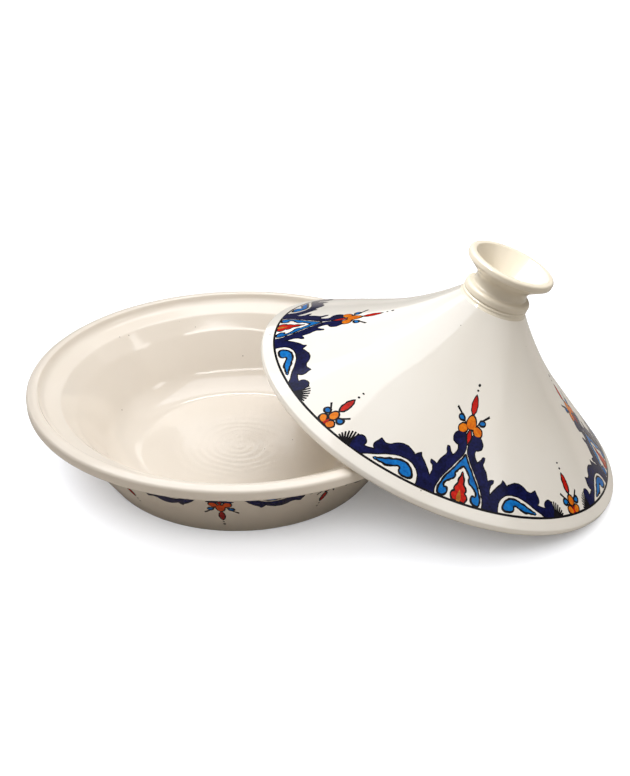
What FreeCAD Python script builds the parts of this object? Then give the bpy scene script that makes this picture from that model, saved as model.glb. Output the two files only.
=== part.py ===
import FreeCAD, Part
import math
import os

# Tagine pot of thrown and glazed earthenware: a shallow dish, and a conical lid with a cup-shaped knob.
# The lid is off the dish: it leans on the dish's rim with the far side of its own rim on the table.
# Frame: origin at the centre of the dish's flat underside, +Z up, the lid leans towards +X. Millimetres.

# Dish
RIM_R = 150.0          # outermost radius of the rolled rim
DISH_H = 67.4          # table to the crest of the rim
RIM_W = 7.8            # width of the rim's crest
RIM_EDGE = 10.3        # height of the rim's outer edge
GALLERY_R = 139.5      # foot of the upstanding rim, where the lid's seat begins
GALLERY_Z = 61.2
LEDGE_R = 126.8        # inner edge of the seat
LEDGE_Z = 57.0
FLOOR_R = 89.4         # where the line of the inner wall meets the floor
FLOOR_T = 8.0
FOOT_R = 98.5
THROAT_R = 133.5       # where the outer wall meets the underside of the rim
THROAT_Z = 53.0
HEEL_ROUND = 3.0       # roundings of the dish's outline, from the foot round to the floor
THROAT_ROUND = 6.0
RIM_UNDER_ROUND = 4.0
RIM_OVER_ROUND = 6.0
RIM_INNER_ROUND = 1.6
GALLERY_ROUND = 4.0
LEDGE_ROUND = 3.0
BOWL_ROUND = 20.0

# Lid, heights from the underside of its own rim
LID_R = 135.4
LID_EDGE = 5.6         # height of the lid's upright edge
LID_ROUND = 3.3        # rounding under that edge, which stands on the table
LID_LIP_W = 5.6        # width of the lid's rim underneath
FLARE_R = 48.5         # where the cone's two straight sides would meet
FLARE_Z = 63.2
FLARE_ROUND = 260.0    # large curve that joins them
SHOULDER_R = 23.6      # top of the cone, where the knob is luted on
SHOULDER_Z = 92.5
LID_T = 7.0            # wall of the cone
CROWN_T = 6.0          # clay left under the knob
CROWN_ROUND = 8.0
LIP_ROUND = 2.0        # inner edge of the lid's rim
EDGE_ROUND = 2.0       # top of its upright edge
SHOULDER_ROUND = 0.8

# Knob
LUTE_R = 22.2          # knob's foot on the shoulder
COLLAR_R = 23.3        # two ridges round the knob's foot
LOW_RIDGE_Z = 95.6     # top of the lower ridge
HIGH_RIDGE_Z = 101.2   # top of the upper ridge
GROOVE = 0.9           # depth of the groove between the ridges
WAIST_R = 17.9
WAIST_Z = 106.0
CUP_R = 30.6           # outermost radius of the knob's lip
CUP_Z = 122.4
CUP_EDGE = 4.6         # height of the lip's outer edge
CUP_LIP_W = 4.4
CUP_FLOOR_R = 6.0
CUP_FLOOR_Z = 98.0
LOW_RIDGE_ROUND = 0.6
GROOVE_ROUND = 0.4
HIGH_RIDGE_UNDER = 1.2
HIGH_RIDGE_OVER = 2.6
COLLAR_ROUND = 1.6     # hollow between the collar and the waist
WAIST_ROUND = 4.0
CUP_UNDER_ROUND = 1.6
CUP_OVER_ROUND = 2.0
CUP_INNER_ROUND = 1.2
CUP_FLOOR_ROUND = 5.0

# How the lid leans
LEAN = 20.7            # degrees
LEAN_SHIFT = 142.2     # from the dish's axis to the lid's axis, at the lid's rim


def turned(corners):
    """Solid turned about Z from a closed outline. A corner is (radius, height, rounding)."""
    points = [FreeCAD.Vector(radius, 0, height) for radius, height, rounding in corners]
    bends = []
    for i, (radius, height, rounding) in enumerate(corners):
        back = (points[i - 1] - points[i]).normalize()
        ahead = (points[(i + 1) % len(points)] - points[i]).normalize()
        half = back.getAngle(ahead) / 2
        reach = rounding / math.tan(half)
        inset = rounding / math.sin(half) - rounding
        middle = points[i] + (back + ahead).normalize() * inset
        bends.append((points[i] + back * reach, middle, points[i] + ahead * reach))
    edges = []
    for i, (start, middle, end) in enumerate(bends):
        if corners[i][2]:
            edges.append(Part.Arc(start, middle, end).toShape())
        following = bends[(i + 1) % len(bends)][0]
        edges.append(Part.LineSegment(end, following).toShape())
    face = Part.Face(Part.Wire(edges))
    return face.revolve(FreeCAD.Vector(0, 0, 0), FreeCAD.Vector(0, 0, 1), 360)


def base_dish():
    """Dish with a flat foot, flaring wall, rolled rim and a sloping seat for the lid inside the rim."""
    return turned([
        (0, 0, 0),
        (FOOT_R, 0, HEEL_ROUND),
        (THROAT_R, THROAT_Z, THROAT_ROUND),
        (RIM_R, DISH_H - RIM_EDGE, RIM_UNDER_ROUND),
        (RIM_R, DISH_H, RIM_OVER_ROUND),
        (RIM_R - RIM_W, DISH_H, RIM_INNER_ROUND),
        (GALLERY_R, GALLERY_Z, GALLERY_ROUND),
        (LEDGE_R, LEDGE_Z, LEDGE_ROUND),
        (FLOOR_R, FLOOR_T, BOWL_ROUND),
        (0, FLOOR_T, 0),
    ])


def lid_cone():
    """Hollow cone with a trumpet flare, thicker at its rim and closed at the top."""
    lower = math.atan2(FLARE_Z - LID_EDGE, LID_R - FLARE_R)
    upper = math.atan2(SHOULDER_Z - FLARE_Z, FLARE_R - SHOULDER_R)
    inward = (lower + upper) / 2
    depth = LID_T / math.cos((upper - lower) / 2)
    inner_r = FLARE_R - depth * math.sin(inward)
    inner_z = FLARE_Z - depth * math.cos(inward)
    crown_z = SHOULDER_Z - CROWN_T
    crown_r = inner_r - (crown_z - inner_z) / math.tan(upper)
    return turned([
        (0, crown_z, 0),
        (crown_r, crown_z, CROWN_ROUND),
        (inner_r, inner_z, FLARE_ROUND),
        (LID_R - LID_LIP_W, 0, LIP_ROUND),
        (LID_R, 0, LID_ROUND),
        (LID_R, LID_EDGE, EDGE_ROUND),
        (FLARE_R, FLARE_Z, FLARE_ROUND),
        (SHOULDER_R, SHOULDER_Z, SHOULDER_ROUND),
        (0, SHOULDER_Z, 0),
    ])


def lid_knob():
    """Flared cup on a waist, with a collar of two ridges where it is luted to the cone."""
    return turned([
        (0, SHOULDER_Z, 0),
        (LUTE_R, SHOULDER_Z, 0),
        (COLLAR_R, SHOULDER_Z + GROOVE, LOW_RIDGE_ROUND),
        (COLLAR_R, LOW_RIDGE_Z - GROOVE, LOW_RIDGE_ROUND),
        (COLLAR_R - GROOVE, LOW_RIDGE_Z, GROOVE_ROUND),
        (COLLAR_R, LOW_RIDGE_Z + GROOVE, HIGH_RIDGE_UNDER),
        (COLLAR_R, HIGH_RIDGE_Z, HIGH_RIDGE_OVER),
        (WAIST_R + GROOVE, HIGH_RIDGE_Z + GROOVE, COLLAR_ROUND),
        (WAIST_R, WAIST_Z, WAIST_ROUND),
        (CUP_R, CUP_Z - CUP_EDGE, CUP_UNDER_ROUND),
        (CUP_R, CUP_Z, CUP_OVER_ROUND),
        (CUP_R - CUP_LIP_W, CUP_Z, CUP_INNER_ROUND),
        (CUP_FLOOR_R, CUP_FLOOR_Z, CUP_FLOOR_ROUND),
        (0, CUP_FLOOR_Z, 0),
    ])


def leaning(piece):
    """Tip a piece of the lid, stand the lid's rim on the table and bring it against the dish."""
    tilt = math.radians(LEAN)
    height = (LID_R - LID_ROUND) * math.sin(tilt) + LID_ROUND * (1 - math.cos(tilt))
    turn = FreeCAD.Rotation(FreeCAD.Vector(0, 1, 0), LEAN)
    piece.Placement = FreeCAD.Placement(FreeCAD.Vector(LEAN_SHIFT, 0, height), turn)
    return piece


pieces = {
    "base_dish": base_dish(),
    "lid_cone": leaning(lid_cone()),
    "lid_knob": leaning(lid_knob()),
}
os.makedirs("parts", exist_ok=True)
for name, piece in pieces.items():
    piece.exportStep("parts/" + name + ".step")
    print(name, "valid", piece.isValid(), "litres", round(piece.Volume / 1e6, 4))
gap = pieces["base_dish"].distToShape(pieces["lid_cone"])[0]
print("gap between the dish and the leaning lid", round(gap, 3))
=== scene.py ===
import bisect
import bmesh
import bpy
import math
from mathutils import Matrix, Vector, noise
from mathutils.geometry import delaunay_2d_cdt


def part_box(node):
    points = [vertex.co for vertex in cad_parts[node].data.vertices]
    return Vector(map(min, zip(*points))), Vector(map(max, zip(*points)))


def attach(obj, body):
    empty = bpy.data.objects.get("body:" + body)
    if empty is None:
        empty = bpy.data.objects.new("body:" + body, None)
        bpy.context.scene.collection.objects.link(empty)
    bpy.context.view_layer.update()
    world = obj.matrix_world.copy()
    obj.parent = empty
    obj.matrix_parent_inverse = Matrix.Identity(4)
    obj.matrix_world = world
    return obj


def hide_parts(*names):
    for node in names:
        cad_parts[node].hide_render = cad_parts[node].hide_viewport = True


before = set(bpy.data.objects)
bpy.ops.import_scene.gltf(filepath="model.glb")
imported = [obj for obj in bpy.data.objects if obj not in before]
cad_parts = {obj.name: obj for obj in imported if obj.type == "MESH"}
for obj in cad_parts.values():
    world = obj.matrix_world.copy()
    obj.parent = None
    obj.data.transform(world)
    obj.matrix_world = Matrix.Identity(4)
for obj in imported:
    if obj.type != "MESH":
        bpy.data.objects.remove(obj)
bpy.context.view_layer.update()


# Dish
# A shallow round dish, thrown on the wheel from buff earthenware and dipped whole in ivory glaze.
# The rolled rim and the sloping seat for the lid are thrown in one with it, and the potter's fingers
# left low turning rings on the floor.
MM = 0.001
SEGMENTS = 384
dish_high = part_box("base_dish")[1]
rim_r = dish_high.y / MM
dish_h = dish_high.z / MM
foot_r, heel_round = 98.5, 3.0
throat_r, throat_z, throat_round = 133.5, 53.0, 6.0      # where the wall meets the underside of the rim
rim_w, rim_low, rim_high = 7.8, 59.0, 65.8
rim_under_round, rim_over_round = 1.8, 2.4
crest_r, crest_lift, crest_round = 145.0, 0.15, 6.0      # highest line of the rim
lip_z, lip_round = 67.0, 1.6                             # inner edge of the rim
gallery_r, gallery_z, gallery_round = 139.5, 61.2, 8.0   # foot of the upstanding rim, outer edge of the seat
ledge_r, ledge_z, ledge_round = 126.8, 57.0, 4.0         # inner edge of the seat
bend_r, bend_z, bend_round = 117.2, 46.0, 50.0           # soft bend in the inner wall
floor_r, floor_z, floor_round = 89.4, 8.0, 34.0
ring_spacing, ring_depth, ring_reach = 6.4, 0.04, 36.0
ring_patch, ring_steady, ring_wander = 22.0, 0.8, 3.0    # how unevenly the fingers pressed


def rounded(corners, spacing=2.5, arc_step=0.15):
    """Points along an outline through (radius, height, rounding) corners, in mm and radians."""
    corner_points = [Vector(corner[:2]) for corner in corners]
    line = [corner_points[0]]
    for i in range(1, len(corners)):
        here = corner_points[i]
        rounding = corners[i][2]
        arc = [here]
        if rounding:
            back = (corner_points[i - 1] - here).normalized()
            ahead = (corner_points[i + 1] - here).normalized()
            half = back.angle(ahead) / 2
            reach = rounding / math.tan(half)
            centre = here + (back + ahead).normalized() * (rounding / math.sin(half))
            start = here + back * reach - centre
            sweep = start.angle_signed(ahead * reach + here - centre)
            steps = max(4, math.ceil(abs(sweep) * rounding / spacing), math.ceil(abs(sweep) / arc_step))
            arc = []
            for k in range(steps + 1):
                turn = -sweep * k / steps
                spun = Vector((start.x * math.cos(turn) - start.y * math.sin(turn),
                               start.x * math.sin(turn) + start.y * math.cos(turn)))
                arc.append(centre + spun)
        run = arc[0] - line[-1]
        pieces = max(1, math.ceil(run.length / spacing))
        first = line[-1]
        line += [first + run * (k / pieces) for k in range(1, pieces)]
        line += arc
    return line


def finished_mesh(name, points, faces, material, crisp=False):
    """Smooth mesh object from points in metres. A crisp one keeps the edge round each patch sharp."""
    mesh = bpy.data.meshes.new(name)
    mesh.from_pydata(points, [], faces)
    shape = bmesh.new()
    shape.from_mesh(mesh)
    bmesh.ops.recalc_face_normals(shape, faces=shape.faces)
    for face in shape.faces:
        face.smooth = True
    for edge in shape.edges if crisp else ():
        edge.smooth = all(len(face.verts) == 3 for face in edge.link_faces)
    shape.to_mesh(mesh)
    shape.free()
    mesh.materials.append(material)
    piece = bpy.data.objects.new(name, mesh)
    bpy.context.scene.collection.objects.link(piece)
    return piece


def around(radius, angle, height):
    """Point at a radius, angle and height in mm from a piece's own axis, in metres."""
    return Vector((radius * math.cos(angle), radius * math.sin(angle), height)) * MM


def turned(name, line, seat, material, ripple=None):
    """Closed piece turned about its own axis from an outline that starts and ends on the axis."""
    points = [seat @ around(0, 0, line[0].y)]
    faces = []
    inner = line[1:-1]
    for radius, height in inner:
        for k in range(SEGMENTS):
            angle = math.tau * k / SEGMENTS
            lift = ripple(radius, height, angle) if ripple else 0
            points.append(seat @ around(radius, angle, height + lift))
    points.append(seat @ around(0, 0, line[-1].y))
    for k in range(SEGMENTS):
        after = (k + 1) % SEGMENTS
        faces.append((0, 1 + after, 1 + k))
        for row in range(len(inner) - 1):
            low = 1 + row * SEGMENTS
            high = low + SEGMENTS
            faces.append((low + k, low + after, high + after, high + k))
        last = 1 + (len(inner) - 1) * SEGMENTS
        faces.append((last + k, last + after, len(points) - 1))
    return finished_mesh(name, points, faces, material)


def linear(hex_colour):
    """sRGB hex value to linear colour."""
    channels = [int(hex_colour[i:i + 2], 16) / 255 for i in (1, 3, 5)]
    return [c / 12.92 if c < 0.04045 else ((c + 0.055) / 1.055) ** 2.4 for c in channels] + [1.0]


def add(tree, kind, inputs, **settings):
    """Add a node. An input is a value, or the socket that feeds it."""
    node = tree.nodes.new(kind)
    for key, value in settings.items():
        setattr(node, key, value)
    for key, value in inputs.items():
        if isinstance(value, bpy.types.NodeSocket):
            tree.links.new(value, node.inputs[key])
        else:
            node.inputs[key].default_value = value
    return node


# Ivory tin glaze: an opaque glossy skin, a little creamier where it ran thick, with fine iron specks
# and a soft unevenness that makes the reflections swim. Specks are drawn at twice their real size.
def ivory_glaze(name, cream, ivory):
    iron = "#6B5238"
    cloud = 60.0
    dimple, dimple_depth = 16.0, 0.12
    peel, peel_depth = 3.0, 0.02
    speck_gap, speck, speck_core, speck_dark = 17.0, 0.55, 0.33, 0.8
    material = bpy.data.materials.new(name)
    material.use_nodes = True
    tree = material.node_tree
    surface = tree.nodes["Principled BSDF"]
    place = add(tree, "ShaderNodeTexCoord", {}).outputs["Object"]
    clouds = add(tree, "ShaderNodeTexNoise", {"Vector": place, "Scale": 1 / (cloud * MM), "Detail": 3.0})
    body = add(tree, "ShaderNodeMix", {0: clouds.outputs["Fac"], 6: linear(cream), 7: linear(ivory)},
               data_type="RGBA")
    cells = add(tree, "ShaderNodeTexVoronoi", {"Vector": place, "Scale": 1 / (speck_gap * MM)})
    dots = add(tree, "ShaderNodeMapRange", {0: cells.outputs["Distance"], 1: speck_core / speck_gap,
                                            2: speck / speck_gap, 3: speck_dark, 4: 0.0})
    colour = add(tree, "ShaderNodeMix", {0: dots.outputs[0], 6: body.outputs[2], 7: linear(iron)},
                 data_type="RGBA")
    dimples = add(tree, "ShaderNodeTexNoise", {"Vector": place, "Scale": 1 / (dimple * MM), "Detail": 2.0})
    peels = add(tree, "ShaderNodeTexNoise", {"Vector": place, "Scale": 1 / (peel * MM), "Detail": 1.0})
    wave = add(tree, "ShaderNodeBump", {"Height": dimples.outputs["Fac"], "Strength": 0.6,
                                        "Distance": dimple_depth * MM})
    skin = add(tree, "ShaderNodeBump", {"Height": peels.outputs["Fac"], "Strength": 0.3,
                                        "Distance": peel_depth * MM, "Normal": wave.outputs["Normal"]})
    tree.links.new(colour.outputs[2], surface.inputs["Base Color"])
    tree.links.new(skin.outputs["Normal"], surface.inputs["Normal"])
    surface.inputs["Roughness"].default_value = 0.08
    surface.inputs["IOR"].default_value = 1.52
    return material


# The dish's copy of the glaze is creamier and darker than the lid's. Part of that is thicker glaze, and part
# is painted shade in the bowl.
dish_glaze = ivory_glaze("ivory_glaze_thick_painted_shade", "#ECE1D1", "#F3EADD")


def turning_rings(radius, height, angle):
    """Low spiral ridges in the middle of the floor."""
    if abs(height - floor_z) > 0.01:
        return 0
    fade = math.exp(-(radius / ring_reach) ** 2) * min(1, radius / ring_spacing)
    uneven = noise.noise(Vector((radius * math.cos(angle), radius * math.sin(angle), 0)) / ring_patch)
    phase = math.tau * radius / ring_spacing + angle + ring_wander * uneven
    return ring_depth * fade * (ring_steady + uneven) * math.sin(phase)


dish_line = rounded([
    (0, 0),
    (foot_r, 0, heel_round),
    (throat_r, throat_z, throat_round),
    (rim_r, rim_low, rim_under_round),
    (rim_r, rim_high, rim_over_round),
    (crest_r, dish_h + crest_lift, crest_round),
    (rim_r - rim_w, lip_z, lip_round),
    (gallery_r, gallery_z, gallery_round),
    (ledge_r, ledge_z, ledge_round),
    (bend_r, bend_z, bend_round),
    (floor_r, floor_z, floor_round),
    (0, floor_z, 0),
], spacing=1.3)
dish = turned("dish", dish_line, Matrix.Identity(4), dish_glaze, turning_rings)
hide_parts("base_dish")
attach(dish, "dish")


# Painted border of the dish
# Brushwork on the raw glaze, fired into it: cobalt arches and leaf scrolls that hang from a black line
# under the rim, outlined in black and filled with bright blue, red and orange.
# A patch of paint stands a few hundredths of a millimetre proud, as fired pigment does.
HALF = 101.0           # from the middle of an arch to the middle of a floret, along the line, in mm


def flow(knots, closed=True, step=0.7):
    """Smooth line through given points in mm. A third value marks a sharp corner."""
    count = len(knots)
    spots = [Vector(knot[:2]) for knot in knots]
    line = []
    for i in range(count if closed else count - 1):
        start, end = spots[i], spots[(i + 1) % count]
        chord = (end - start).length
        slopes = []
        for j in (i, (i + 1) % count):
            here = spots[j]
            into = here - spots[j - 1]
            out = spots[(j + 1) % count] - here
            loose_end = not closed and j in (0, count - 1)
            if len(knots[j]) > 2 or loose_end:
                slopes.append(end - start)
            else:
                mixed = into.normalized() * out.length + out.normalized() * into.length
                slopes.append(mixed.normalized() * chord)
        steps = max(2, math.ceil(chord / step))
        for k in range(steps):
            t = k / steps
            line.append(start * (2 * t ** 3 - 3 * t ** 2 + 1) + slopes[0] * (t ** 3 - 2 * t ** 2 + t)
                        + end * (3 * t ** 2 - 2 * t ** 3) + slopes[1] * (t ** 3 - t ** 2))
    return line if closed else line + [spots[-1]]


def mirrored(half):
    """Whole outline from its right half, which starts and ends on the middle line."""
    left = [(-knot[0],) + tuple(knot[1:]) for knot in reversed(half) if knot[0]]
    return list(half) + left


def stroke(knots, thin, thick):
    """Outline of one brush stroke that swells from thin to thick, in mm."""
    path = flow(knots, closed=False)
    sides = [[], []]
    for i, spot in enumerate(path):
        along = (path[min(i + 1, len(path) - 1)] - path[max(i - 1, 0)]).normalized()
        across = Vector((-along.y, along.x)) * (thin + (thick - thin) * i / (len(path) - 1)) / 2
        sides[0].append(spot + across)
        sides[1].append(spot - across)
    return sides[0] + sides[1][::-1]


def dab(across, up, wide, high, steps=14):
    """Outline of a round dab of the brush."""
    turns = [math.tau * k / steps for k in range(steps)]
    return [Vector((across + wide * math.cos(turn), up + high * math.sin(turn))) for turn in turns]


def swollen(line, width):
    """A closed line moved outwards by an uneven width, for the black that shows round a filled shape."""
    steady, unsteady, pace = 0.75, 0.5, 0.4
    area = sum(line[i - 1].cross(line[i]) for i in range(len(line)))
    out = []
    for i, spot in enumerate(line):
        along = (line[(i + 1) % len(line)] - line[i - 1]).normalized()
        shake = steady + unsteady * noise.noise(Vector((spot.x * pace, spot.y * pace, width)))
        out.append(spot + Vector((along.y, -along.x)) * math.copysign(1, area) * width * shake)
    return out


def inside(spot, line):
    """Whether a point lies within a closed line."""
    crossings = 0
    for i, end in enumerate(line):
        start = line[i - 1]
        if (start.y > spot.y) != (end.y > spot.y):
            meet = start.x + (end.x - start.x) * (spot.y - start.y) / (end.y - start.y)
            crossings += meet > spot.x
    return crossings % 2 == 1


def filled(line, grid=2.6):
    """Patch of paint within a closed line: its points, triangles and outer edges."""
    low = Vector((min(spot.x for spot in line), min(spot.y for spot in line)))
    high = Vector((max(spot.x for spot in line), max(spot.y for spot in line)))
    inner = []
    for i in range(1, math.ceil((high.x - low.x) / grid)):
        for j in range(1, math.ceil((high.y - low.y) / grid)):
            spot = low + Vector((i, j)) * grid
            if inside(spot, line) and min((spot - other).length for other in line) > grid / 3:
                inner.append(spot)
    spots, _, triangles = delaunay_2d_cdt(line + inner, [], [list(range(len(line)))], 1, 1e-5)[:3]
    uses = {}
    for triangle in triangles:
        for i, end in enumerate(triangle):
            uses.setdefault(frozenset((triangle[i - 1], end)), []).append((triangle[i - 1], end))
    return spots, triangles, [pair[0] for pair in uses.values() if len(pair) == 1]


C = True               # marks a sharp corner of an outline
arch_band = [(16.6, 0.8, C), (16.9, 4.5), (15.9, 9.0), (13.4, 15.0), (10.2, 21.0), (6.4, 27.0), (3.0, 32.0),
             (1.2, 35.4), (0.7, 38.4), (1.0, 41.4, C), (2.6, 44.0), (2.9, 46.4), (3.6, 48.0), (5.8, 48.7),
             (9.6, 48.4), (12.9, 46.6), (14.2, 43.6), (13.2, 41.0), (10.4, 39.3), (8.2, 39.0, C), (7.6, 36.4),
             (8.8, 33.0), (10.6, 30.6, C), (13.2, 33.0), (15.2, 35.6), (16.8, 35.6, C), (16.2, 33.0),
             (15.4, 30.8), (16.2, 28.6), (18.2, 25.5), (19.2, 22.0), (19.9, 20.2, C), (22.0, 21.2),
             (24.8, 21.7, C), (24.4, 20.0), (22.4, 18.2), (21.6, 15.8), (21.8, 12.5), (22.2, 10.6, C),
             (21.4, 6.0), (21.0, 0.8, C)]
arch_blue = mirrored([(0, 33.4, C), (3.4, 28.3), (7.8, 21.4), (11.8, 14.6), (14.2, 8.4), (14.9, 4.2),
                      (13.9, 1.9), (11.6, 1.8), (9.6, 3.2), (8.8, 5.4), (9.6, 7.4), (11.2, 7.2, C),
                      (11.9, 8.6), (10.6, 11.6), (8.0, 13.6), (5.8, 15.6), (5.2, 17.2), (5.6, 18.8),
                      (4.0, 21.8), (1.6, 24.4), (0, 25.6, C)])
flame = mirrored([(0, 21.2, C), (1.2, 17.6), (2.0, 15.6), (2.2, 12.8), (3.6, 11.0), (4.2, 9.0), (3.7, 7.6),
                  (5.2, 6.4), (5.7, 4.2), (4.4, 1.4, C)])
flame_core = mirrored([(0, 9.2, C), (1.2, 5.8), (1.6, 3.4), (1.1, 1.4, C)])
throat_bud = mirrored([(0, 51.6, C), (1.4, 49.6), (2.3, 46.8), (1.6, 43.4), (0, 40.6, C)])
crown_petal = mirrored([(0, 62.2), (2.6, 61.0), (4.8, 57.8), (5.2, 54.4), (3.6, 51.8), (0, 51.2)])
side_petal = [(2.8, 51.6), (5.0, 54.4), (9.2, 54.4), (12.2, 51.6), (11.2, 48.6), (7.6, 47.5), (4.4, 48.6)]
crown_berry = [(7.6, 57.0, C), (9.8, 59.6), (12.8, 60.3), (15.0, 58.8), (13.6, 57.0), (10.6, 56.4)]
crown_bud = mirrored([(0, 77.2, C), (2.2, 74.4), (3.6, 70.2), (3.0, 66.0), (1.2, 63.2), (0, 62.2, C)])
scroll_leaf = [(19.0, 0.8, C), (19.4, 6.0), (22.2, 10.6, C), (24.5, 13.4), (28.0, 17.0), (31.5, 19.6),
               (33.0, 21.0), (34.1, 22.9, C), (35.6, 21.6), (37.8, 19.4, C), (40.5, 20.9), (45.0, 22.3),
               (49.5, 22.2), (53.0, 20.4), (55.5, 18.0), (58.5, 16.8), (61.5, 17.3), (64.2, 18.4, C),
               (64.6, 16.2), (65.9, 13.4), (65.4, 10.8), (63.4, 9.0, C), (66.5, 7.9), (70.9, 6.9, C),
               (70.5, 9.0), (71.9, 11.3), (74.8, 12.2), (77.6, 11.0), (78.9, 8.2), (78.6, 4.6),
               (77.2, 0.8, C), (69.2, 0.8, C), (64.0, 4.3), (58.0, 8.1), (52.0, 11.4), (46.0, 13.6),
               (40.0, 14.1), (34.8, 12.6), (31.0, 9.6), (29.2, 5.6), (28.9, 0.8, C)]
scroll_comma = [(33.2, 4.4), (34.2, 7.6), (36.8, 10.4), (40.4, 11.6), (44.6, 11.0), (49.6, 9.0), (54.6, 6.4),
                (60.6, 3.2, C), (55.5, 3.4), (50.4, 3.8), (46.4, 5.8), (43.6, 7.1), (42.2, 6.6), (41.9, 4.9),
                (40.4, 3.4), (37.4, 2.9), (34.6, 3.2)]
fan_roots = [(77.4, 1.0), (78.4, 1.0), (79.4, 1.0), (80.4, 1.0), (81.4, 1.0), (82.4, 1.0), (83.4, 1.0)]
fan_tips = [(78.6, 11.4), (80.8, 11.2), (82.8, 10.3), (84.6, 8.9), (86.1, 7.0), (87.2, 4.9), (87.8, 2.7)]
floret_petal = [(1.0, 1.0), (4.2, 1.0), (6.0, 2.8), (5.8, 5.4), (3.8, 6.8), (1.4, 5.6)]
floret_crown = mirrored([(0, 13.8), (2.0, 12.6), (3.0, 10.0), (2.2, 7.2), (0, 6.0)])
floret_drop = mirrored([(0, 7.4, C), (1.2, 4.8), (1.6, 2.6), (0.8, 0.8)])
floret_berry = [(3.8, 9.6, C), (5.4, 11.4), (7.6, 11.4), (8.6, 9.4), (7.2, 7.6), (5.2, 7.8)]
floret_bud = mirrored([(0, 28.2, C), (1.7, 25.6), (2.6, 21.6), (2.1, 17.6), (0, 14.4, C)])


def pair(line):
    """A line of points and its mirror image."""
    return [line, [Vector((-spot.x, spot.y)) for spot in line]]


crown_stem = stroke([(5.6, 54.8), (12.0, 60.4), (19.6, 64.8)], 1.1, 1.9)
floret_stem = stroke([(2.8, 9.6), (6.4, 12.4), (10.0, 15.6)], 1.0, 1.6)
arch = {"cobalt": pair(flow(arch_band)),
        "sky": [flow(arch_blue)] + pair(flow(crown_berry)),
        "red": [flow(flame), flow(throat_bud), flow(crown_bud)],
        "orange": [flow(crown_petal)] + pair(flow(side_petal)),
        "amber": [flow(flame_core)],
        "black": pair(crown_stem) + [dab(0.2, 80.4, 1.6, 0.8), dab(0.7, 84.4, 2.0, 1.2)]}
scroll = {"cobalt": [flow(scroll_leaf)],
          "sky": [flow(scroll_comma)],
          "black": [stroke([root, tip], 1.6, 1.2) for root, tip in zip(fan_roots, fan_tips)]}
floret = {"sky": pair(flow(floret_berry)),
          "red": [flow(floret_drop), flow(floret_bud)],
          "orange": pair(flow(floret_petal)) + [flow(floret_crown)],
          "black": pair(floret_stem) + [dab(0.2, 31.4, 1.2, 0.8), dab(-0.1, 35.4, 1.3, 0.6)]}
outline_width = {"cobalt": 1.1, "sky": 1.9, "red": 1.7, "orange": 1.7}
outer_share, inner_share = 0.6, 0.4      # of an outline's width, to either side of the drawn line
for motif in (arch, scroll, floret):
    for colour, width in outline_width.items():
        lines = motif.get(colour, [])
        motif["black"] += [swollen(line, width * outer_share) for line in lines]
        motif[colour] = [swollen(line, -width * inner_share) for line in lines]
    for colour in motif:
        motif[colour] = [filled(line) for line in motif[colour]]


# Brushed pigment fired into the glaze: the colour is thin and bright where the brush ran dry and deep
# where it pooled, in patches a few millimetres long. It shines less than bare glaze and so stays deep.
def pigment(name, thin, deep):
    pool, pool_depth, streak = 7.0, 0.06, 1.6
    dry, loaded = 0.7, 1.3
    material = bpy.data.materials.new(name)
    material.use_nodes = True
    tree = material.node_tree
    surface = tree.nodes["Principled BSDF"]
    place = add(tree, "ShaderNodeTexCoord", {}).outputs["Object"]
    pools = add(tree, "ShaderNodeTexNoise", {"Vector": place, "Scale": 1 / (pool * MM), "Detail": 2.0})
    streaks = add(tree, "ShaderNodeTexNoise", {"Vector": place, "Scale": 1 / (streak * MM), "Detail": 2.0})
    load = add(tree, "ShaderNodeMath", {0: pools.outputs["Fac"], 1: streaks.outputs["Fac"]}, operation="ADD")
    depth = add(tree, "ShaderNodeMapRange", {0: load.outputs[0], 1: dry, 2: loaded, 3: 0.0, 4: 1.0})
    colour = add(tree, "ShaderNodeMix", {0: depth.outputs[0], 6: linear(thin), 7: linear(deep)},
                 data_type="RGBA")
    wave = add(tree, "ShaderNodeBump", {"Height": pools.outputs["Fac"], "Strength": 0.4,
                                        "Distance": pool_depth * MM})
    tree.links.new(colour.outputs[2], surface.inputs["Base Color"])
    tree.links.new(wave.outputs["Normal"], surface.inputs["Normal"])
    surface.inputs["Roughness"].default_value = 0.1
    surface.inputs["IOR"].default_value = 1.52
    surface.inputs["Specular IOR Level"].default_value = 0.08
    return material


paints = {"black": pigment("manganese_black", "#1E1C20", "#0B0A0C"),
          "cobalt": pigment("cobalt_blue", "#181C52", "#0A0C2A"),
          "sky": pigment("copper_blue", "#1A82D2", "#0858A4"),
          "red": pigment("iron_red", "#DE2616", "#AA0E06"),
          "orange": pigment("antimony_orange", "#F08C1A", "#D66008"),
          "amber": pigment("amber_wash", "#C8822E", "#93521A")}
paint_lift = {"black": 0.05, "cobalt": 0.08, "sky": 0.08, "red": 0.08, "orange": 0.09, "amber": 0.11}
paint_root = 0.12      # how far a patch reaches down into the glaze, in mm as the lift above it


def wall(line):
    """Radius, height and outward direction at a distance along an outline, in mm."""
    reached = [0.0]
    for i in range(1, len(line)):
        reached.append(reached[-1] + (line[i] - line[i - 1]).length)

    def at(distance):
        i = min(max(bisect.bisect(reached, distance), 1), len(line) - 1)
        run = line[i] - line[i - 1]
        spot = line[i - 1] + run * ((distance - reached[i - 1]) / run.length)
        out = Vector((run.y, -run.x)).normalized()
        return spot, out if out.x > 0 else -out
    return at


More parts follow.
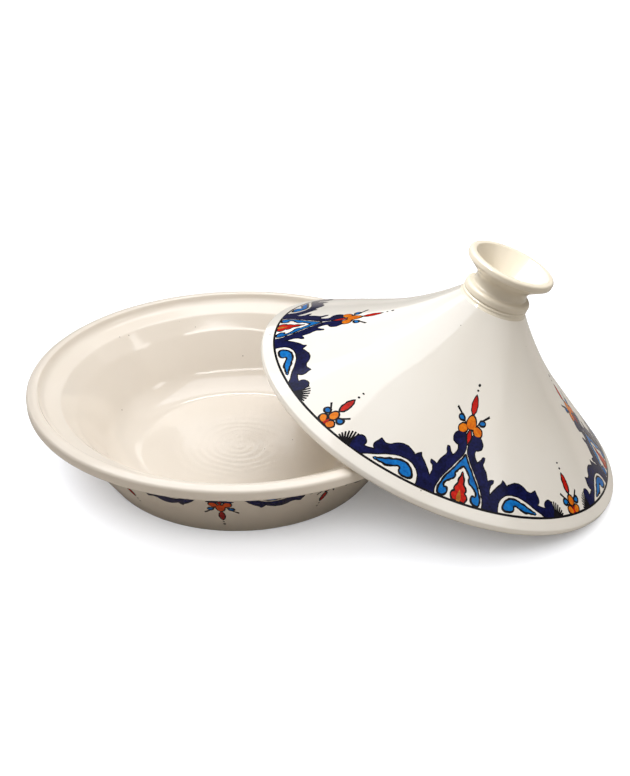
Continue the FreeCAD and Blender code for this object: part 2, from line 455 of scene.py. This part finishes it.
def painted(title, body, seat, surface, work, palette):
    """One mesh for each colour, laid on a turned wall. Work is (motif, function that places a spot) pairs."""
    pieces = []
    for colour, material in palette.items():
        points = []
        faces = []
        for motif, put in work:
            for spots, triangles, edges in motif.get(colour, []):
                count = len(spots)
                first = len(points)
                for depth in (paint_lift[colour], -paint_root):
                    for spot in spots:
                        angle, distance = put(spot)
                        on, out = surface(distance)
                        on = on + out * depth
                        points.append(seat @ around(on.x, angle, on.y))
                for a, b, c in triangles:
                    faces.append((first + a, first + b, first + c))
                    faces.append((first + count + c, first + count + b, first + count + a))
                for a, b in edges:
                    faces.append((first + b, first + a, first + count + a, first + count + b))
        if points:
            piece = finished_mesh(title + "_" + colour, points, faces, material, crisp=True)
            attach(piece, body)
            pieces.append(piece)
    return pieces


def ring_line(low, high, steps=480):
    """Patch of paint for a line all the way round, as (turn, distance) spots."""
    spots = [Vector((k / steps, v)) for k in range(steps) for v in (low, high)]
    triangles = []
    edges = []
    for k in range(steps):
        a, b = 2 * k, 2 * k + 1
        c, d = (2 * k + 2) % (2 * steps), (2 * k + 3) % (2 * steps)
        triangles += [(a, c, d), (a, d, b)]
        edges += [(c, a), (b, d)]
    return {"black": [(spots, triangles, edges)]}


hand_seed = 5          # fixes the hand's unevenness, so that every run draws the same border
noise.seed_set(hand_seed)


def hand(spot, repeat):
    """A painter's hand: no two repeats come out the same."""
    pace, apart, wobble = 0.045, 7.3, 0.7
    shake = noise.noise_vector(Vector((spot.x * pace, spot.y * pace, repeat * apart)))
    return spot + Vector((shake.x, shake.y)) * wobble


def repeats(arches, florets):
    """Number and angle of each arch, and angles of the florets to its right and left, from degrees."""
    for k, degrees in enumerate(arches):
        before = florets[k - 1] - (360 if k == 0 else 0)
        yield k, math.radians(degrees), math.radians(florets[k]), math.radians(before)


dish_arches = [-88.0, -25.8, 33.6, 93.1, 152.5, 211.9]
dish_florets = [-55.5, 3.9, 63.3, 122.7, 182.2, 241.6]
floret_hand, scroll_hand = 20, 40           # keep the painter's unevenness of the motifs apart
line_drop, line_w = 1.0, 1.4                # painted line's distance from the throat, and its width
arch_narrow, arch_squat, arch_knee = 0.66, 0.26, 48.0
floret_narrow, floret_tall = 0.69, 1.05
scroll_low = 0.96
leaf_end, leaf_end_dish = 66.0, 78.0        # end of a scroll's leaf on the lid and on the dish
curl_end, curl_end_dish = 87.6, 94.0        # end of the curl behind it
leaf_back = 4.0                             # how far the leaf's root is drawn towards the arch


def long_leaf(along):
    """Scrolls on the dish have longer leaves and a shorter curl than those on the lid."""
    if along < leaf_end:
        return along * leaf_end_dish / leaf_end - leaf_back * (1 - along / leaf_end)
    return leaf_end_dish + (along - leaf_end) * (curl_end_dish - leaf_end_dish) / (curl_end - leaf_end)


dish_wall = wall(rounded([(rim_r, rim_low), (throat_r, throat_z, throat_round), (foot_r, 0, 0)], spacing=0.8))
line_low = math.hypot(rim_r - throat_r, throat_z - rim_low) + line_drop
dish_work = [(ring_line(0.0, line_w), lambda spot: (spot.x * math.tau, spot.y + line_low))]
for k, middle, right, left in repeats(dish_arches, dish_florets):

    def hang_arch(spot, middle=middle, k=k):
        spot = hand(spot, k)
        low = min(spot.y, arch_knee) * arch_squat + max(0, spot.y - arch_knee)
        return middle + spot.x * arch_narrow / throat_r, low + line_low

    def hang_floret(spot, right=right, k=k):
        spot = hand(spot, k + floret_hand)
        return right + spot.x * floret_narrow / throat_r, spot.y * floret_tall + line_low

    dish_work += [(arch, hang_arch), (floret, hang_floret)]
    for side, end in ((1, right), (-1, left)):

        def hang_scroll(spot, middle=middle, end=end, side=side, k=k):
            spot = hand(spot, k + scroll_hand * side)
            return middle + (end - middle) * long_leaf(spot.x) / HALF, spot.y * scroll_low + line_low

        dish_work.append((scroll, hang_scroll))
# Under the rim the warm colours look deeper than on the lid, as thicker washes do.
dish_paints = dict(paints, red=pigment("iron_red_thick", "#B81C12", "#8C0C06"),
                   orange=pigment("antimony_orange_thick", "#DE5412", "#BE3C06"))
dish_border = painted("dish_border", "dish", Matrix.Identity(4), dish_wall, dish_work, dish_paints)


# Lid
# A hollow cone with a trumpet flare, thrown as a bowl, turned over and glazed like the dish.
# It is off the dish: it leans on the dish's rim with the far side of its own rim on the table.
lid_r, lid_edge, lid_edge_round = 135.4, 5.6, 1.2        # its upright edge
foot_round = 3.3                                         # under that edge, where the lid stands on the table
lid_lip, lid_lip_round = 5.6, 2.0                        # width of the rim underneath
flare_r, flare_z, flare_round = 48.5, 63.2, 260.0
shoulder_r, shoulder_z, shoulder_round = 23.6, 92.5, 0.8
lid_wall_t, crown_t, crown_round = 7.0, 6.0, 8.0
lean = math.radians(20.7)
lean_shift = 142.2
stand = (lid_r - foot_round) * math.sin(lean) + foot_round * (1 - math.cos(lean))
lid_seat = Matrix.Translation(Vector((lean_shift, 0, stand)) * MM) @ Matrix.Rotation(lean, 4, "Y")
low_slope = math.atan2(flare_z - lid_edge, lid_r - flare_r)
high_slope = math.atan2(shoulder_z - flare_z, flare_r - shoulder_r)
inset = lid_wall_t / math.cos((high_slope - low_slope) / 2)
inner_r = flare_r - inset * math.sin((low_slope + high_slope) / 2)
inner_z = flare_z - inset * math.cos((low_slope + high_slope) / 2)
crown_z = shoulder_z - crown_t
crown_r = inner_r - (crown_z - inner_z) / math.tan(high_slope)
lid_line = rounded([
    (0, crown_z),
    (crown_r, crown_z, crown_round),
    (inner_r, inner_z, flare_round),
    (lid_r - lid_lip, 0, lid_lip_round),
    (lid_r, 0, foot_round),
    (lid_r, lid_edge, lid_edge_round),
    (flare_r, flare_z, flare_round),
    (shoulder_r, shoulder_z, shoulder_round),
    (0, shoulder_z, 0),
])
# The lid's copy of the glaze is whiter and lighter than the dish's. Part of that is thinner glaze, and part
# is painted light on the brightly lit lid.
lid_glaze = ivory_glaze("ivory_glaze_thin_painted_light", "#F1EADD", "#F8F4EC")
lid = turned("lid", lid_line, lid_seat, lid_glaze)
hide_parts("lid_cone")
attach(lid, "lid")


# Painted border of the lid
# The same brushwork as on the dish, larger and standing up from a black line just inside the rim.
# The painter set the arches by eye, so they aren't quite a quarter turn apart.
line_r, line_below = 128.8, 0.2
lid_arches = [-182.5, -86.5, -4.0, 88.0]
lid_florets = [-131.0, -43.2, 42.0, 132.5]
give = 0.6             # how far a scroll keeps its own length where it has more room
line_up = (lid_r - line_r) / math.cos(low_slope)
lid_wall = wall(rounded([(lid_r, lid_edge), (flare_r, flare_z, flare_round), (shoulder_r, shoulder_z, 0)]))
lid_work = [(ring_line(-line_below, line_w), lambda spot: (spot.x * math.tau, spot.y + line_up))]
for k, middle, right, left in repeats(lid_arches, lid_florets):

    def stand_arch(spot, middle=middle, k=k):
        spot = hand(spot, k)
        return middle + spot.x / line_r, spot.y + line_up

    def stand_floret(spot, right=right, k=k):
        spot = hand(spot, k + floret_hand)
        return right + spot.x / line_r, spot.y + line_up

    lid_work += [(arch, stand_arch), (floret, stand_floret)]
    for side, end in ((1, right), (-1, left)):
        room = abs(end - middle) * line_r / HALF
        reach = 1.0 if room < 1 else room ** -give

        def stand_scroll(spot, middle=middle, end=end, side=side, reach=reach, k=k):
            spot = hand(spot, k + scroll_hand * side)
            return middle + (end - middle) * spot.x * reach / HALF, spot.y + line_up

        lid_work.append((scroll, stand_scroll))
lid_border = painted("lid_border", "lid", lid_seat, lid_wall, lid_work, paints)


# Knob
# A flared cup on a waist, thrown on a lump of clay that is luted to the top of the cone.
# Two ridges round its foot hide the joint, and the glaze runs over them.
pool_r, pool_z, pool_round = 24.7, 90.9, 1.6      # glaze pooled round the joint, from under the cone's skin
collar_r = 23.3
low_ridge_z, low_ridge_round = 95.6, 0.6
groove, groove_round = 0.9, 0.7                   # between the two ridges
high_ridge_z, ridge_under_round, ridge_over_round = 101.2, 1.2, 2.6
neck_round = 1.6                                  # hollow between the collar and the waist
waist_r, waist_z, waist_round = 18.1, 108.4, 7.0
cup_r, cup_z, cup_edge, cup_lip = 30.6, 122.4, 4.6, 4.4
cup_under_round, cup_over_round, cup_lip_round = 1.6, 2.0, 1.2
cup_floor_r, cup_floor_z, cup_floor_round = 6.0, 98.0, 5.0
knob_line = rounded([
    (0, pool_z),
    (pool_r, pool_z, 0),
    (collar_r, shoulder_z + groove, pool_round),
    (collar_r, low_ridge_z - groove, low_ridge_round),
    (collar_r - groove, low_ridge_z, groove_round),
    (collar_r, low_ridge_z + groove, ridge_under_round),
    (collar_r, high_ridge_z, ridge_over_round),
    (waist_r + groove, high_ridge_z + groove, neck_round),
    (waist_r, waist_z, waist_round),
    (cup_r, cup_z - cup_edge, cup_under_round),
    (cup_r, cup_z, cup_over_round),
    (cup_r - cup_lip, cup_z, cup_lip_round),
    (cup_floor_r, cup_floor_z, cup_floor_round),
    (0, cup_floor_z, 0),
], spacing=1.0)
# The knob's copy of the glaze is darker and creamier than the lid's. Part of that is glaze pooled on the
# knob. Part is painted shade, which darkens the whole knob so that its neck under the cup looks shaded.
knob_glaze = ivory_glaze("ivory_glaze_pooled_painted_shade", "#D8CDB9", "#E2D9C6")
knob = turned("knob", knob_line, lid_seat, knob_glaze)
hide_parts("lid_knob")
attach(knob, "lid")


# Table, light and camera
# A pale table top under broad soft light from the upper left, seen from a little above.
# Most lamps light only some of the dish, the lid, the knob and the table.
def table_top(name, depth, reach, colour, glow):
    """One sheet of the table: a wide plane of matt paint."""
    paint = bpy.data.materials.new(name)
    paint.use_nodes = True
    surface = paint.node_tree.nodes["Principled BSDF"]
    surface.inputs["Base Color"].default_value = linear(colour)
    surface.inputs["Roughness"].default_value = 0.9
    surface.inputs["Emission Color"].default_value = linear("#FFFFFF")
    surface.inputs["Emission Strength"].default_value = glow
    corners = [(x * reach, y * reach, -depth) for x, y in ((-1, -1), (1, -1), (1, 1), (-1, 1))]
    sheet = finished_mesh(name, corners, [(0, 1, 2, 3)], paint)
    return sheet


# The table is lit apart, and glows to plain white away from the pot so that no horizon shows.
# Only its grey underlay throws light back at the pot.
near, far, glow_near, glow_far = 0.5, 1.3, 0.13, 1.0
table = table_top("table", 0, 2.3, "#EFF1F5", glow_near)
table_nodes = table.data.materials[0].node_tree
table_place = add(table_nodes, "ShaderNodeTexCoord", {}).outputs["Object"]
away = add(table_nodes, "ShaderNodeVectorMath", {0: table_place}, operation="LENGTH").outputs["Value"]
table_glow = add(table_nodes, "ShaderNodeMapRange", {0: away, 1: near, 2: far, 3: glow_near, 4: glow_far})
table_nodes.links.new(table_glow.outputs[0], table_nodes.nodes["Principled BSDF"].inputs["Emission Strength"])
table.visible_diffuse = False
table.visible_glossy = False
table.visible_shadow = False
underlay = table_top("underlay", 0.5 * MM, 6.0, "#C6BFB6", 0.03)
underlay.visible_camera = False

# The room is a plain grey, a little warmer below, behind a white backdrop.
world = bpy.data.worlds.new("studio")
world.use_nodes = True
sky = world.node_tree
direction = add(sky, "ShaderNodeTexCoord", {}).outputs["Generated"]
height = add(sky, "ShaderNodeSeparateXYZ", {0: direction}).outputs["Z"]
upness = add(sky, "ShaderNodeMapRange", {0: height, 1: -1.0, 2: 1.0}).outputs[0]
shade = add(sky, "ShaderNodeValToRGB", {"Fac": upness})
for stop, (level, colour) in enumerate(((0.45, "#6E6A62"), (0.55, "#707070"))):
    shade.color_ramp.elements[stop].position = level
    shade.color_ramp.elements[stop].color = linear(colour)
straight = add(sky, "ShaderNodeLightPath", {}).outputs["Is Camera Ray"]
backdrop = add(sky, "ShaderNodeMix", {0: straight, 6: shade.outputs["Color"], 7: linear("#FFFFFF")},
               data_type="RGBA")
sky.links.new(backdrop.outputs[2], sky.nodes["Background"].inputs["Color"])
sky.nodes["Background"].inputs["Strength"].default_value = 1.0
bpy.context.scene.world = world
bpy.context.scene.view_settings.view_transform = "Standard"


def lamp(name, place, aim, wide, deep, brightness, colour="#FFFFFF"):
    """A soft box. Its brightness is what a mirror would show, where white paper in full light is 1."""
    light = bpy.data.lights.new(name, "AREA")
    light.shape = "RECTANGLE"
    light.size = wide
    light.size_y = deep
    light.energy = brightness * wide * deep * math.pi
    light.color = linear(colour)[:3]
    shown = bpy.data.objects.new(name, light)
    shown.location = place
    shown.rotation_euler = (Vector(aim) - Vector(place)).to_track_quat("-Z", "Y").to_euler()
    shown.visible_camera = False
    bpy.context.scene.collection.objects.link(shown)
    return shown


def only_on(light, name, *lit):
    """Keep a light off everything but the things given."""
    light.light_linking.receiver_collection = bpy.data.collections.new(name)
    for thing in lit:
        light.light_linking.receiver_collection.objects.link(thing)


# The ceiling lights everything. Then the main light and the fill of the lid and of the dish.
lamp("ceiling", (0.1, 0.1, 1.7), (0.1, 0.1, 0), 5.0, 3.4, 0.6, "#FFF8F0")
window = lamp("window", (-1.05, 0.3, 2.3), (0.1, 0, 0.08), 2.6, 2.2, 2.6, "#F4F8FF")
only_on(window, "window_on", lid, knob, table, underlay, *lid_border)
skylight = lamp("skylight", (-0.1, 0.35, 2.5), (0, 0, 0.03), 2.4, 2.2, 2.6, "#F4F8FF")
only_on(skylight, "skylight_on", dish, *dish_border)
fill = lamp("fill", (1.9, -1.4, 1.5), (0.1, 0, 0.06), 3.0, 2.4, 0.72)
only_on(fill, "fill_on", lid, knob, *lid_border)
bowl_fill = lamp("bowl_fill", (1.45, -0.4, 1.0), (-0.1, 0.02, 0.03), 1.2, 0.9, 1.8)
only_on(bowl_fill, "bowl_fill_on", dish, *dish_border)
bowl_fill.visible_glossy = False
# Lamps that are only seen mirrored in the glaze: streaks and panes in the bowl, a sheen on the lid and
# a point on the knob.
front_strip = lamp("front_strip", (0.45, -1.15, 1.95), (0, 0.1, 0.03), 1.9, 0.16, 8.0)
back_strip = lamp("back_strip", (-0.62, 2.1, 2.4), (0, 0.1, 0.01), 1.1, 0.14, 12.0)
right_window = lamp("right_window", (1.25, 0.12, 1.14), (-0.08, 0.08, 0.05), 0.3, 0.2, 3.6)
back_window = lamp("back_window", (-0.34, 2.14, 1.3), (0.03, 0.03, 0.01), 0.34, 0.1, 1.7)
back_soft = lamp("back_soft", (-0.9, 2.0, 1.75), (0.1, 0, 0.1), 3.2, 2.2, 1.9)
bare_bulb = lamp("bare_bulb", (-0.8, -0.9, 1.6), (0.18, 0, 0.15), 0.24, 0.24, 60.0)
for mirrored_lamp, lit in ((front_strip, dish), (back_strip, dish), (right_window, dish), (back_window, dish),
                           (back_soft, lid), (bare_bulb, knob)):
    only_on(mirrored_lamp, mirrored_lamp.name + "_on", lit)
    mirrored_lamp.visible_diffuse = False
# The knob has a main light of its own.
knob_window = lamp("knob_window", (-0.6, 0.1, 2.3), (0.18, 0, 0.15), 0.9, 0.9, 19.0)
only_on(knob_window, "knob_window_on", knob)
# Soft boxes that hang over the table and light it alone.
box_z, box_wide, box_deep = 1.8, 1.9, 1.7
for name, x, y, brightness in (("table_left", -1.7, -2.0, 2.5), ("table_front", 0.2, -2.0, 6.6),
                               ("table_over", 0.2, -0.3, 0.8), ("table_right", 2.1, -0.3, 1.0)):
    box = lamp(name, (x, y, box_z), (x, y, 0), box_wide, box_deep, brightness)
    only_on(box, name + "_on", table)

# The camera's place and turn are fitted to the outlines of the dish and the lid.
view_turn, view_drop, view_roll = math.radians(4.58), math.radians(28.58), math.radians(0.71)
focal_pixels, frame_height, film = 1161.4, 776, 36.0
camera_place = Vector((112.5, -728.7, 457.2)) * MM
forward = Vector((-math.sin(view_turn) * math.cos(view_drop),
                  math.cos(view_turn) * math.cos(view_drop),
                  -math.sin(view_drop)))
level = Vector((math.cos(view_turn), math.sin(view_turn), 0))
upright = level.cross(forward)
rightward = level * math.cos(view_roll) + upright * math.sin(view_roll)
upward = upright * math.cos(view_roll) - level * math.sin(view_roll)
lens = bpy.data.cameras.new("camera")
lens.sensor_width = film
lens.lens = focal_pixels * film / frame_height
camera = bpy.data.objects.new("camera", lens)
camera.matrix_world = Matrix((rightward, upward, -forward)).transposed().to_4x4()
camera.location = camera_place
bpy.context.scene.collection.objects.link(camera)
bpy.context.scene.camera = camera
